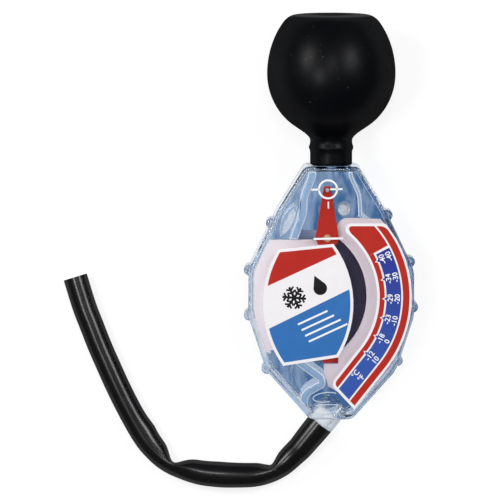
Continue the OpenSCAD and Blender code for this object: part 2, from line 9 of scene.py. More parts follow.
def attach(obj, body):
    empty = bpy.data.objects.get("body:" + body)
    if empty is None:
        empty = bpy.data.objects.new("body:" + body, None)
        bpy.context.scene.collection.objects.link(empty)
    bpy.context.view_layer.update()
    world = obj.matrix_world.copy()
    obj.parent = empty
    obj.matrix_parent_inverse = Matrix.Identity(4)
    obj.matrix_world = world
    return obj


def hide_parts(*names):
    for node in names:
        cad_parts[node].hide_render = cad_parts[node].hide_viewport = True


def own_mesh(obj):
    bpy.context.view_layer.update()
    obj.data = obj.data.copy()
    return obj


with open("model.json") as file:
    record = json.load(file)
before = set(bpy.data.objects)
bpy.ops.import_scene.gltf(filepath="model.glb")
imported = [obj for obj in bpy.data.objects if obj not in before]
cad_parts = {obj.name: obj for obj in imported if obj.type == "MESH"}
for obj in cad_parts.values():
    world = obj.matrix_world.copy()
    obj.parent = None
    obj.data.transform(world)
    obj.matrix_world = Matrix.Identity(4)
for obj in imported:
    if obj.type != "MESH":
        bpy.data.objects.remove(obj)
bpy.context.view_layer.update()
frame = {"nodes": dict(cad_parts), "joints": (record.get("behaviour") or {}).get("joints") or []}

mm = 0.001

# the case's own frame, from the joints: x across the dial, y up to the bulb, z out of the dial, in mm
jointRows = {row["name"]: row for row in frame["joints"]}
dialAxis = Vector(jointRows["float_pivot"]["axis"]).normalized()
longAxis = -Vector(jointRows["bulb_squeeze"]["axis"]).normalized()
acrossAxis = longAxis.cross(dialAxis)
pivot = (-14.8, -52.2)  # the float's pivot in the case's frame
nozzle = {"at": (-4, -104.6), "turn": -129}  # the collar's face and the way out of it, in the case's frame
pivotSpot = Vector(jointRows["float_pivot"]["pos_m"])
caseOrigin = pivotSpot - mm * (pivot[0] * acrossAxis + pivot[1] * longAxis)
caseTilt = math.atan2(longAxis.z, longAxis.y)
caseTurn = Matrix.Rotation(caseTilt, 3, "X").to_quaternion()
caseMatrix = Matrix.LocRotScale(caseOrigin, caseTurn, Vector((mm, mm, mm)))
faceZ = 10.0  # front face of the case
labelT = 0.15  # thickness of a sticker
printT = 0.03  # thickness of the ink
weld = 0.001  # two points of a print that lie closer than this become one


def srgb(red, green, blue):
    def linear(c):
        c = c / 255
        return c / 12.92 if c <= 0.04045 else ((c + 0.055) / 1.055) ** 2.4
    return (linear(red), linear(green), linear(blue), 1.0)


def ray(angle):
    return (math.cos(math.radians(angle)), math.sin(math.radians(angle)))


def link(thing):
    bpy.context.scene.collection.objects.link(thing)
    return thing


# a plain mesh of an object as its modifiers leave it
def settled(thing):
    view = bpy.context.evaluated_depsgraph_get()
    mesh = bpy.data.meshes.new_from_object(thing.evaluated_get(view))
    thing.modifiers.clear()
    bpy.data.objects.remove(thing)
    return mesh


# node maths: a Num is a socket that can stand in a sum
class Num:
    def __init__(self, box, socket):
        self.box = box
        self.socket = socket

    def calc(self, operation, *others):
        return self.box.node("ShaderNodeMath", {"operation": operation}, dict(enumerate((self, *others))))

    def __add__(self, other):
        return self.calc("ADD", other)

    __radd__ = __add__

    def __mul__(self, other):
        return self.calc("MULTIPLY", other)

    __rmul__ = __mul__

    def __sub__(self, other):
        return self.calc("SUBTRACT", other)

    def __rsub__(self, other):
        return self * -1 + other

    def __truediv__(self, other):
        return self.calc("DIVIDE", other)

    def __abs__(self):
        return self.calc("ABSOLUTE")

    def low(self, other):
        return self.calc("MINIMUM", other)

    def high(self, other):
        return self.calc("MAXIMUM", other)

    # 0 below the edge, 1 above it, with a soft step
    def over(self, edge, soft):
        return self.box.node("ShaderNodeMapRange", {"interpolation_type": "SMOOTHSTEP"},
                             {"Value": self - edge, "From Min": -soft, "From Max": soft})


class NodeBox:
    def __init__(self, tree):
        self.nodes = tree.nodes
        self.links = tree.links

    # any node: its settings first, then the values or links of its sockets
    def node(self, kind, settings, inputs, output=0):
        made = self.nodes.new(kind)
        for label, value in settings.items():
            setattr(made, label, value)
        for label, value in inputs.items():
            self.put(made.inputs[label], value)
        return Num(self, made.outputs[output]) if made.outputs else made

    def put(self, socket, value):
        if isinstance(value, Num):
            self.links.new(value.socket, socket)
        else:
            socket.default_value = value


class Finish(NodeBox):
    def __init__(self, name, **fixed):
        self.material = bpy.data.materials.new(name)
        self.material.use_nodes = True
        super().__init__(self.material.node_tree)
        self.shader = self.nodes["Principled BSDF"]
        for label, value in fixed.items():
            self.shader.inputs[label.replace("_", " ")].default_value = value

    def set(self, label, value):
        self.put(self.shader.inputs[label], value)

    def spot(self):
        return self.node("ShaderNodeTexCoord", {}, {}, "Object")

    # millimetres in the case's frame
    def caseVector(self):
        return self.node("ShaderNodeMapping", {"vector_type": "TEXTURE"},
                         {"Vector": self.spot(), "Location": caseOrigin, "Rotation": (caseTilt, 0, 0),
                          "Scale": (mm, mm, mm)})

    def caseSpot(self):
        turned = self.caseVector()
        return [self.node("ShaderNodeSeparateXYZ", {}, {"Vector": turned}, axis) for axis in "XYZ"]

    # noise drawn out along the case, with so many waves to the millimetre each way
    def streaks(self, waves, swirl):
        drawn = self.node("ShaderNodeMapping", {}, {"Vector": self.caseVector(), "Scale": waves})
        return self.node("ShaderNodeTexNoise", {}, {"Vector": drawn, "Scale": 1, "Detail": 3, "Roughness": 0.55,
                                                    "Distortion": swirl})

    def noise(self, scale, detail=3, rough=0.5):
        return self.node("ShaderNodeTexNoise", {}, {"Vector": self.spot(), "Scale": scale, "Detail": detail,
                                                    "Roughness": rough})

    def mix(self, share, first, second):
        return self.node("ShaderNodeMix", {"data_type": "RGBA"}, {0: share, 6: first, 7: second}, 2)

    # between a darker and a paler tone
    def blend(self, share, tones):
        return self.mix(share, *[srgb(*tone) for tone in tones])

    def bump(self, height, strength, distance):
        self.set("Normal", self.node("ShaderNodeBump", {}, {"Strength": strength, "Distance": distance,
                                                            "Height": height}))

    # lays a second shader over the one shown so far
    def cover(self, share, shader):
        shown = self.nodes["Material Output"].inputs["Surface"]
        below = Num(self, shown.links[0].from_socket)
        self.put(shown, self.node("ShaderNodeMixShader", {}, {0: share, 1: below, 2: shader}))

    # light of the named kinds of ray goes straight through
    def letThrough(self, kinds, share, tint):
        passing = self.node("ShaderNodeLightPath", {}, {}, kinds[0])
        for label in kinds[1:]:
            passing = passing.high(self.node("ShaderNodeLightPath", {}, {}, label))
        self.cover(passing * share, self.node("ShaderNodeBsdfTransparent", {}, {"Color": srgb(*tint)}))


# signed distance of (x, y) inside a straight edge from a to b, with the inside on the left
def insideLine(x, y, a, b):
    run, rise = b[0] - a[0], b[1] - a[1]
    span = math.hypot(run, rise)
    return (y - a[1]) * (run / span) - (x - a[0]) * (rise / span)


# circle of a side that bulges by s to the right of the leg from a to b
def bulgeCircle(a, b, s):
    run, rise = b[0] - a[0], b[1] - a[1]
    half = math.hypot(run, rise) / 2
    radius = (half * half + s * s) / (2 * s)
    back = (radius - s) / (2 * half)
    return ((a[0] + b[0]) / 2 - rise * back, (a[1] + b[1]) / 2 + run * back), radius


def distance(x, y, centre):
    across, up = x - centre[0], y - centre[1]
    return (across * across + up * up).calc("SQRT")


# how far a spot lies inside several edges, with the corners between them rounded
def insideRounded(edges, radius):
    total = 0
    for edge in edges:
        gap = (radius - edge).high(0)
        total = gap * gap + total
    return radius - total.calc("SQRT")


print("stage: finishes")

rubberGrain = {  # scales of the noise, edges of its patches, and what each kind does
    "cloud": 55, "cloudRough": 0.12, "fineRough": 0.16, "bump": (0.25, 0.00006), "crownEdge": 0.3,
    "speck": 900, "speckEdge": (0.76, 0.02), "patch": 90, "patchEdge": (0.54, 0.08),
    "speckTone": (150, 146, 138), "speckRough": 0.2,
}


# rubber: a dull body under a thin even sheen, with mottling, fine grain and a few specks of dust
def rubberFinish(name, look):
    g = rubberGrain
    f = Finish(name, Specular_IOR_Level=0.0, Coat_IOR=3.0, Coat_Roughness=look["coatRough"],
               Coat_Tint=srgb(*look["gleam"]))
    fine = f.noise(look["grain"], 4, 0.6)
    cloud = f.noise(g["cloud"])
    specks = f.noise(g["speck"], 1).over(*g["speckEdge"]) * f.noise(g["patch"], 2).over(*g["patchEdge"])
    body = f.blend(cloud, look["tones"])
    f.set("Base Color", f.mix(specks * look["dust"], body, srgb(*g["speckTone"])))
    f.set("Roughness", (fine - 0.5) * g["fineRough"] + (cloud - 0.5) * g["cloudRough"] + look["rough"]
          + specks * g["speckRough"])
    coat = (cloud - 0.5) * look["coat"] + look["coat"]
    if "crown" in look:  # the flat crown is polished at its rim
        x, y, z = f.caseSpot()
        rim = (x * x + z * z).calc("SQRT").over(look["crownRim"], look["crownSoft"])
        coat = coat + y.over(look["crown"], g["crownEdge"]) * rim * look["crownCoat"]
    f.set("Coat Weight", coat)
    f.bump(fine, *g["bump"])
    return f.material


# soft share of a level's reach, where its painted light slope along y starts, and the fine haze of the surface
clearGrain = {"soft": 0.25, "middle": -45, "haze": 900, "hazeRough": 0.04, "bump": 0.3}


# clear plastic: flat faces at some levels carry a streaky tint that pales and deepens along x and y as painted
# light and shade, ribs and walls are paler, bands of painted shade and painted light cross them, and a white
# cover is painted on as highlights and as the tube's milkiness
def clearFinish(name, look):
    g = clearGrain
    f = Finish(name, Transmission_Weight=1.0, IOR=look["ior"])
    x, y, z = f.caseSpot()
    flow = f.streaks(look["waves"], look["swirl"])
    colour = f.blend(flow, look["wall"])
    for level in look["levels"]:
        near = (level["near"] - abs(z - level["z"])).over(0, level["near"] * g["soft"])
        # painted light and shade: the tint pales or deepens with x and y, paler towards the left where the
        # light comes from
        paintedLightSlope = x * level["paintedLightSlope"][0] + (y - g["middle"]) * level["paintedLightSlope"][1]
        pale = (flow - 0.5) * level["streak"] + level["share"] + paintedLightSlope
        colour = f.mix(near, colour, f.blend(pale.high(0).low(1), level["tones"]))
    # bands of painted shade and painted light, each a tone laid along a line
    for band in look["shadeAndLightBands"]:
        for upper, lower in zip(band["line"], band["line"][1:]):
            off = abs(insideLine(x, y, upper, lower))
            ends = (y - lower[1]).over(0, band["soft"]) * (upper[1] - y).over(0, band["soft"])
            colour = f.mix((band["half"] - off).over(0, band["soft"]) * ends, colour, srgb(*band["tone"]))
    f.set("Base Color", colour)
    f.set("Roughness", f.noise(g["haze"], 2) * g["hazeRough"] + look["rough"])
    f.bump(flow, g["bump"], look["wave"])
    # a white cover painted on as highlights at the rib tops and the stop's end, and as milkiness on the
    # nozzle's tube
    f.cover(look["glintAndMilk"](x, y, z), f.node("ShaderNodeBsdfDiffuse", {}, {"Color": srgb(*look["glintAndMilkTone"])}))
    f.letThrough(("Is Shadow Ray", "Is Diffuse Ray"), 1, look["veil"])
    return f.material


# the nozzle's tube is a little milky from just before its collar outwards
milkyTube = {"from": -6, "soft": 1.5, "half": 5.8, "edge": 0.4, "share": 0.45}


def nozzleFrost(x, y):
    m, way = milkyTube, ray(nozzle["turn"])
    u, v = x - nozzle["at"][0], y - nozzle["at"][1]
    past, aside = u * way[0] + v * way[1], abs(v * way[0] - u * way[1])
    return past.over(m["from"], m["soft"]) * (m["half"] - aside).over(0, m["edge"]) * m["share"]


# painted highlights: white along the rounded edges of the rib tops, and on the blunt end of the plumb bob's
# stop
ribGlint = {"z": 7.53, "near": 0.28, "soft": 0.08, "share": 0.78}
stopGlint = {"at": (5.06, -17.2), "radius": 2.5, "z": 2.8, "soft": 0.3, "share": 0.85}


def ribGlintAndTubeMilk(x, y, z):
    r = ribGlint
    return ((r["near"] - abs(z - r["z"])).over(0, r["soft"]) * r["share"]).high(nozzleFrost(x, y))


def stopGlintAndTubeMilk(x, y, z):
    s = stopGlint
    inside = (s["radius"] - distance(x, y, s["at"])).over(0, s["soft"])
    boss = inside * (s["z"] - z).over(0, s["soft"]) * s["share"]
    return boss.high(nozzleFrost(x, y))


plainGrain = {"cloud": 70, "fineRough": 0.15, "bump": 0.2}


# paint, paper or moulded plastic: two tones in clouds, with a fine grain
def plainFinish(name, tones, rough, grain=700, depth=0.00003, change=None, through=0):
    g = plainGrain
    f = Finish(name, Specular_IOR_Level=0.2)
    fine = f.noise(grain)
    colour = f.blend(f.noise(g["cloud"]), tones)
    f.set("Base Color", change(f, colour) if change else colour)
    f.set("Roughness", (fine - 0.5) * g["fineRough"] + rough)
    f.bump(fine, g["bump"], depth)
    if through:
        f.cover(through, f.node("ShaderNodeBsdfTransparent", {}, {}))
    return f.material


# a sheet that is paler to the left of an edge across the case
def paleLeft(edge, soft, tone):
    return lambda f, colour: f.mix(f.caseSpot()[0].over(edge, soft), srgb(*tone), colour)


metalGrain = {"brush": 2400, "brushRough": 0.2, "cloud": 300, "bump": (0.15, 0.00002)}


def metalFinish(name, tones, rough):
    g = metalGrain
    f = Finish(name, Metallic=1.0)
    brushed = f.noise(g["brush"], 2)
    f.set("Base Color", f.blend(f.noise(g["cloud"], 2), tones))
    f.set("Roughness", brushed * g["brushRough"] + rough)
    f.bump(brushed, *g["bump"])
    return f.material


paper = {
    "tones": ((240, 236, 240), (247, 245, 247)), "wear": 160, "haze": 1200, "hazeRough": 0.1, "rough": 0.32,
    "dent": 260, "bump": (0.12, 0.00005), "through": 0.8, "veil": (255, 252, 252),
}


# a printed sticker: white paper, then one ink after another, each with its mask
def stickerFinish(name, inks):
    p = paper
    f = Finish(name, Specular_IOR_Level=0.2, Coat_Weight=0.04, Coat_Roughness=0.2)
    wear = f.noise(p["wear"])
    colour = f.blend(wear, p["tones"])
    for mask, ink in inks(f, wear):
        colour = f.mix(mask, colour, ink)
    f.set("Base Color", colour)
    f.set("Roughness", f.noise(p["haze"], 2) * p["hazeRough"] + p["rough"])
    f.bump(f.noise(p["dent"], 2), *p["bump"])
    f.letThrough(("Is Shadow Ray",), p["through"], p["veil"])
    return f.material


nameSticker = {
    "corners": [(-21.2, -33), (0.8, -30.8), (2.8, -76.4), (-19.2, -79.8)],
    "bulge": 7,
    "border": 1.2,
    "soft": 0.06,
    "redEdge": [(-25.6, -47.8), (2, -35)],
    "blueEdge": [(6.4, -49.4), (-24.4, -64.6)],
    "redTones": ((178, 34, 26), (188, 46, 36)),
    "blueTones": ((46, 106, 176), (56, 120, 188)),
}


def nameInks(f, wear):
    s = nameSticker
    x, y = f.caseSpot()[:2]
    upLeft, upRight, lowRight, lowLeft = s["corners"]
    rightCentre, rightR = bulgeCircle(lowRight, upRight, s["bulge"])
    leftCentre, leftR = bulgeCircle(upLeft, lowLeft, s["bulge"])
    inside = (rightR - distance(x, y, rightCentre)).low(leftR - distance(x, y, leftCentre))
    inside = inside.low(insideLine(x, y, upRight, upLeft)).low(insideLine(x, y, lowLeft, lowRight))
    printed = inside.over(s["border"], s["soft"])
    red = insideLine(x, y, *s["redEdge"]).over(0, s["soft"]) * printed
    blue = insideLine(x, y, *s["blueEdge"]).over(0, s["soft"]) * printed
    return [(red, f.blend(wear, s["redTones"])), (blue, f.blend(wear, s["blueTones"]))]


scaleSticker = {  # radii and angles round the float's pivot
    "bend": -38, "rise": 29.6, "cut": 20.4, "border": 1.1, "leftBorder": 1.0, "soft": 0.06,
    "innerEdge": (33.1, 18.6), "outerEdge": (46.9, 20.8),  # radius of each edge, and length of its tail
    "headRound": 1.7, "toeRound": 1.6, "rimRound": 1.5,
    "inner": (34.1, 36.1), "blue": (36.8, 42.7), "outer": (43.35, 46.0),
    "firstTick": 23.6, "tickStep": 12.3, "ticks": 6, "toothL": 1.05, "toothSlope": 1.75,
    "headAngle": 29.2, "headGap": 1.4, "headSoft": 0.12, "crisp": 0.001,
    "redTones": ((176, 34, 25), (189, 49, 37)), "blueTones": ((50, 82, 168), (58, 92, 176)),
    "deepBlue": (44, 52, 146), "deepFrom": -40, "deepOver": 70,  # the blue deepens over these degrees
}


def scaleInks(f, wear):
    s = scaleSticker
    soft, crisp = s["soft"], s["crisp"]
    x, y = f.caseSpot()[:2]
    u, v = x - pivot[0], y - pivot[1]
    out, along = ray(s["bend"]), ray(s["bend"] - 90)
    inTail = (u * along[0] + v * along[1]).over(0, crisp)
    curved = (u * u + v * v).calc("SQRT")
    radius = curved + (u * out[0] + v * out[1] - curved) * inTail
    angle = v.calc("ARCTAN2", u) * (180 / math.pi)
    # teeth of the blue band, one at each reading
    place = (s["firstTick"] - angle) / s["tickStep"] + 0.5
    nearest = abs(place.calc("FRACT") - 0.5) * (s["tickStep"] * math.pi / 180 * s["blue"][0])
    counted = place.over(0, crisp) * (s["ticks"] - place).over(0, crisp)
    blueIn = radius + (s["toothL"] - nearest * s["toothSlope"]).high(0) * counted
    # ends of the printed bands
    corners = [tuple(r * out[k] + tail * along[k] for k in (0, 1))
               for r, tail in (s["innerEdge"], s["outerEdge"])]
    toEnd = insideLine(u, v, *corners) - s["border"]
    end = toEnd.over(0, soft)
    head = angle.over(s["headAngle"], s["headSoft"]) * (1 - inTail)
    headGap = angle.over(s["headAngle"] - s["headGap"], s["headSoft"]) * (1 - inTail)
    toTop = s["rise"] - s["border"] - v
    toLeft = u - s["cut"] - s["leftBorder"]
    toInner = radius - s["inner"][0]
    toBlue = (s["blue"][1] - radius).over(0, soft)
    blue = blueIn.over(s["blue"][0], soft) * toBlue * (1 - headGap) * end
    strip = insideRounded([toInner, toEnd], s["toeRound"]).over(0, soft)
    strip = strip * (s["inner"][1] - blueIn).over(0, soft) * (1 - head)
    header = insideRounded([toTop, toLeft, toInner], s["headRound"]).over(0, soft) * toBlue * head
    rim = insideRounded([s["outer"][1] - radius, toTop], s["rimRound"]).over(0, soft)
    rim = rim * radius.over(s["outer"][0], soft) * end
    deeper = ((angle - s["deepFrom"]) / s["deepOver"]).high(0).low(1)
    return [(strip.high(header).high(rim), f.blend(wear, s["redTones"])),
            (blue, f.mix(deeper, f.blend(wear, s["blueTones"]), srgb(*s["deepBlue"])))]


bulbRubber = rubberFinish("bulbRubber", {
    "tones": ((3, 4, 7), (6, 7, 10)), "gleam": (255, 251, 238), "rough": 0.5, "coat": 0.032, "coatRough": 0.36,
    "grain": 1500, "dust": 0.3, "crown": 59.5, "crownRim": 9.5, "crownSoft": 4.5, "crownCoat": 0.1})
hoseRubber = rubberFinish("hoseRubber", {
    "tones": ((3, 3, 6), (6, 6, 9)), "gleam": (255, 249, 234), "rough": 0.5, "coat": 0.11, "coatRough": 0.25,
    "grain": 1900, "dust": 0.2})
clearFront = clearFinish("clearFront", {
    "ior": 1.36, "wall": ((249, 251, 253), (253, 254, 255)), "levels": [], "shadeAndLightBands": [],
    "rough": 0.03, "waves": (0.3, 0.07, 0.1), "swirl": 0.8, "wave": 0.0004, "veil": (253, 254, 255),
    "glintAndMilk": stopGlintAndTubeMilk, "glintAndMilkTone": (240, 244, 249)})
clearRear = clearFinish("clearRear", {
    "ior": 1.46, "wall": ((194, 214, 238), (218, 231, 247)),
    "levels": [  # height, reach, darkest and palest tint, and how the tint pales along x and y as painted light and shade
        {"z": -8, "near": 0.4, "tones": ((15, 52, 102), (128, 164, 204)), "streak": 1.8, "share": 0.12,
         "paintedLightSlope": (-0.016, 0.004)},
        {"z": 0, "near": 0.4, "tones": ((20, 60, 114), (174, 198, 226)), "streak": 1.2, "share": 0.75,
         "paintedLightSlope": (-0.025, -0.012)},
        {"z": 7.9, "near": 0.06, "tones": ((74, 116, 168), (132, 168, 207)), "streak": 1.6, "share": 0.5,
         "paintedLightSlope": (0, 0)}],
    "rough": 0.05, "waves": (0.3, 0.07, 0.1), "swirl": 0.8, "wave": 0.0004, "veil": (214, 225, 238),
    "glintAndMilk": ribGlintAndTubeMilk, "glintAndMilkTone": (238, 242, 248),
    "shadeAndLightBands": [  # painted shade down the right flank, painted light down the left and a painted highlight inside the leaf-shaped rib
        {"line": [(22.4, -22.2), (31.6, -36.8)], "half": 1.6, "soft": 0.5, "tone": (44, 62, 100)},
        {"line": [(-25.2, -32.2), (-30.4, -45.1), (-30.4, -61.2), (-25.2, -77.3)], "half": 1.0, "soft": 0.4,
         "tone": (234, 234, 242)},
        {"line": [(-14.6, -18.1), (-18.8, -27.1)], "half": 1.0, "soft": 0.5, "tone": (216, 223, 236)}]})
# painted light: the plate is paler to the left of x = -16
plateWhite = plainFinish("plateWhite", ((212, 200, 206), (224, 212, 218)), 0.5,
                         change=paleLeft(-16, 8, (238, 229, 234)))
cardNavy = plainFinish("cardNavy", ((62, 56, 84), (76, 69, 100)), 0.6,
                       change=paleLeft(-3, 2, (178, 182, 202)))
signalRed = plainFinish("signalRed", ((174, 20, 7), (185, 31, 12)), 0.35)
floatBlack = plainFinish("floatBlack", ((40, 40, 43), (52, 52, 55)), 0.6, 1100, 0.00008)
brassTurned = metalFinish("brassTurned", ((176, 150, 110), (200, 176, 136)), 0.28)
steelDrawn = metalFinish("steelDrawn", ((178, 178, 182), (205, 205, 208)), 0.22)
nameSheet = stickerFinish("nameSheet", nameInks)
scaleSheet = stickerFinish("scaleSheet", scaleInks)
inkWhite = plainFinish("inkWhite", ((240, 240, 243), (250, 250, 251)), 0.4)
# pale, part see-through lines painted on as highlights
glintBead = plainFinish("glintBead", ((216, 226, 238), (234, 240, 247)), 0.35, through=0.45)
inkBlack = plainFinish("inkBlack", ((16, 15, 18), (24, 23, 26)), 0.4)

for nodeName, finish in {
        "dial_plate": plateWhite, "scale_plate": plateWhite, "backing_card": cardNavy, "name_label": nameSheet,
        "scale_label": scaleSheet, "pointer": signalRed, "float_block": floatBlack,
        "balance_weight": brassTurned, "float_pin": steelDrawn, "plumb_bob": signalRed,
        "plumb_weight": brassTurned, "plumb_pin": steelDrawn}.items():
    held = frame["nodes"][nodeName].data.materials
    held.clear()
    held.append(finish)

print("stage: camera, light and floor")
# the photo's view: what it spans, in metres, on a plane through the case
photo = {"distance": 1.5, "width": 0.2, "centre": (-0.0324, -0.0077), "plane": 0.02, "sensor": 36, "far": 20}
camera = bpy.data.cameras.new("camera")
camera.sensor_width = photo["sensor"]
camera.lens = photo["sensor"] * photo["distance"] / photo["width"]
camera.clip_end = photo["far"]
cameraObject = link(bpy.data.objects.new("camera", camera))
cameraObject.location = (*photo["centre"], photo["plane"] + photo["distance"])
bpy.context.scene.camera = cameraObject
bpy.context.scene.view_settings.view_transform = "Standard"

softboxes = {  # direction from the object, watts and width
    "lampLeft": {"toward": (-0.68, 0.265, 0.684), "watts": 4.0, "size": 0.34},
    "lampRight": {"toward": (0.55, 0.25, 0.797), "watts": 3.8, "size": 0.34},
    "lampTop": {"toward": (0, 0.16, 0.99), "watts": 1.25, "size": 0.16},
    "lampLow": {"toward": (-0.375, -0.109, 0.92), "watts": 1.8, "size": 0.16},
}
lampRig = {"at": (0, 0.03, 0.03), "away": 1.0, "sky": 0.2}
for name, box in softboxes.items():
    lamp = bpy.data.lights.new(name, "AREA")
    lamp.shape = "DISK"
    lamp.size = box["size"]
    lamp.energy = box["watts"]
    lampObject = link(bpy.data.objects.new(name, lamp))
    toward = Vector(box["toward"]).normalized()
    lampObject.location = Vector(lampRig["at"]) + toward * lampRig["away"]
    lampObject.rotation_euler = toward.to_track_quat("Z", "Y").to_euler()
    lampObject.visible_transmission = False  # no sparks in the clear plastic

world = bpy.data.worlds.new("studio")
world.use_nodes = True
sky = world.node_tree.nodes["Background"]
sky.inputs["Color"].default_value = (1, 1, 1, 1)
sky.inputs["Strength"].default_value = lampRig["sky"]
bpy.context.scene.world = world

# the floor's grey, and how bright it shows to the camera, in gloss and through clear plastic
floorSizes = {"half": 6, "drop": 0.0001, "tone": 0.3, "glow": 0.78}
half, low = floorSizes["half"], -floorSizes["drop"]
floorMesh = bpy.data.meshes.new("floor")
floorMesh.from_pydata([(-half, -half, low), (half, -half, low), (half, half, low), (-half, half, low)], [],
                      [(0, 1, 2, 3)])
floorFinish = Finish("floorPaper", Roughness=0.9, Specular_IOR_Level=0.1, Emission_Strength=1.0,
                     Base_Color=(floorSizes["tone"],) * 3 + (1,))
seen = [floorFinish.node("ShaderNodeLightPath", {}, {}, label)
        for label in ("Is Camera Ray", "Is Glossy Ray", "Is Transmission Ray")]
floorFinish.set("Emission Color", seen[0].high(seen[1]).high(seen[2]) * floorSizes["glow"])
floorMesh.materials.append(floorFinish.material)
link(bpy.data.objects.new("floor", floorMesh))


# a finished mesh as an object that rides on a body
def makePiece(name, mesh, finish, body, slotName, smooth=True):
    mesh.materials.clear()
    mesh.materials.append(finish)
    for face in mesh.polygons:
        face.use_smooth = smooth
    piece = link(bpy.data.objects.new(name, mesh))
    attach(piece, body)
    return piece


# a closed mesh of points and faces, with its faces outwards
def closedMesh(name, points, faces):
    mesh = bpy.data.meshes.new(name)
    mesh.from_pydata([tuple(p) for p in points], [], faces)
    bm = bmesh.new()
    bm.from_mesh(mesh)
    bmesh.ops.recalc_face_normals(bm, faces=bm.faces)
    bm.to_mesh(mesh)
    bm.free()
    return mesh


print("stage: hose")
hose = {
    "diameter": 9.8, "bore": 6.4, "step": 0.9, "sides": 40,
    "start": 0.05, "cuffEnd": 11.4, "straight": 1.5, "cuffMore": 1.3, "cuffL": 21, "cuffBore": 8.3, "boreL": 3,
    "swell": 0.14, "foldPower": 1.6, "foldCap": 0.97, "fineSteps": 24,
    "folds": [  # place on the bench, depth and length of each crease in the inner side, or bulge below 0
        {"at": (-23.1, -96.2), "depth": 0.6, "length": 4.0},
        {"at": (-44.5, -98.8), "depth": -0.13, "length": 9.0},
        {"at": (-63.5, -93.75), "depth": 0.97, "length": 4.6},
        {"at": (-75.6, -81.6), "depth": -0.15, "length": 5.0},
    ],
}
hoseRoute = [  # the middle of the hose on the bench, in mm
    (-15.2, -90.4, 7.6), (-18.8, -93.6, 7), (-22.6, -95.9, 6.5), (-25.4, -97.1, 6.1), (-28.4, -98, 5.8),
    (-32, -98.6, 5.5), (-37, -98.8, 5.2), (-43, -98.8, 5), (-48, -98.4, 5), (-52, -97.8, 5), (-56, -96.7, 5),
    (-60, -95.2, 5), (-63.4, -93.7, 5), (-66.8, -91.6, 5), (-70, -88.8, 5), (-74, -84.3, 5), (-78, -77.9, 5),
    (-82.2, -70.1, 5), (-86.1, -62.2, 5), (-89.7, -54.2, 5), (-93.2, -46.2, 5), (-96.3, -38.3, 5),
    (-99.4, -30.2, 5), (-103, -18.6, 5)]


# evenly spaced points on a smooth curve through the given ones, and its length
def smoothLine(points, step, fineSteps):
    ends = [2 * points[0] - points[1], *points, 2 * points[-1] - points[-2]]
    fine = []
    for a, b, c, d in zip(ends, ends[1:], ends[2:], ends[3:]):
        for i in range(fineSteps):
            t = i / fineSteps
            fine.append(0.5 * (2 * b + (c - a) * t + (2 * a - 5 * b + 4 * c - d) * t * t
                               + (3 * b - a - 3 * c + d) * t ** 3))
    fine.append(points[-1])
    runs = [0.0]
    for a, b in zip(fine, fine[1:]):
        runs.append(runs[-1] + (b - a).length)
    count = round(runs[-1] / step)
    line, k = [], 0
    for i in range(count + 1):
        want = runs[-1] * i / count
        while k < len(fine) - 2 and runs[k + 1] < want:
            k += 1
        share = (want - runs[k]) / max(runs[k + 1] - runs[k], 1e-12)
        line.append(fine[k].lerp(fine[k + 1], share))
    return line, runs[-1]


# 0 to 1 with a soft start and end
def easeIn(share):
    share = min(max(share, 0), 1)
    return share * share * (3 - 2 * share)


# how deep the inner side is creased at a place on the hose
def foldAt(spot):
    fold = 0.0
    for crease in hose["folds"]:
        gap = math.hypot(spot.x / mm - crease["at"][0], spot.y / mm - crease["at"][1]) / crease["length"]
        fold += crease["depth"] * math.exp(-gap ** hose["foldPower"])
    return min(fold, hose["foldCap"])


def makeHose():
    lead, way = Vector((*nozzle["at"], 0)), Vector((*ray(nozzle["turn"]), 0))
    starts = [caseMatrix @ (lead + s * way) for s in (
        hose["start"], hose["cuffEnd"] / 2, hose["cuffEnd"], hose["cuffEnd"] + hose["straight"])]
    route = [Vector(spot) * mm for spot in hoseRoute]
    line, length = smoothLine(starts + route, hose["step"] * mm, hose["fineSteps"])
    sides, rings = hose["sides"], len(line)
    outer, inner = [], []
    for i, spot in enumerate(line):
        along = (line[min(i + 1, rings - 1)] - line[max(i - 1, 0)]).normalized()
        side = along.cross(Vector((0, 0, 1))).normalized()  # inside of the bends
        rise = side.cross(along)
        run = length / mm * i / (rings - 1)
        fold = foldAt(spot)
        outR = (hose["diameter"] + hose["cuffMore"] * easeIn(1 - run / hose["cuffL"])) / 2
        boreR = (hose["bore"] + (hose["cuffBore"] - hose["bore"])
                 * easeIn(1 - (run - hose["cuffEnd"]) / hose["boreL"])) / 2
        for k in range(sides):
            across, up = math.cos(2 * math.pi * k / sides), math.sin(2 * math.pi * k / sides)
            dent = outR * fold * max(across, 0)
            swell = 1 + hose["swell"] * max(fold, 0) * max(up, 0)
            outer.append(spot + mm * ((outR * across - dent) * side + outR * swell * up * rise))
            inner.append(spot + mm * ((boreR * across - dent) * side + boreR * swell * up * rise))
    n, last = len(outer), (rings - 1) * sides
    faces = []
    for k in range(sides):
        m = (k + 1) % sides
        for a in range(0, last, sides):
            b = a + sides
            faces.append((a + k, a + m, b + m, b + k))
            faces.append((n + a + m, n + a + k, n + b + k, n + b + m))
        faces.append((m, k, n + k, n + m))
        faces.append((last + k, last + m, n + last + m, n + last + k))
    mesh = closedMesh("pickupHose", outer + inner, faces)
    piece = makePiece("pickupHose", mesh, hoseRubber, "case", "hose_rubber")
    for edge in mesh.edges:
        ends = {v // sides for v in edge.vertices}
        edge.use_edge_sharp = len(ends) == 1 and ends <= {0, rings - 1, rings, 2 * rings - 1}
    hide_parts("pickup_hose")
    tuple(line[0])
    [tuple(p) for p in line]
    print("hose length", round(length, 4))


makeHose()

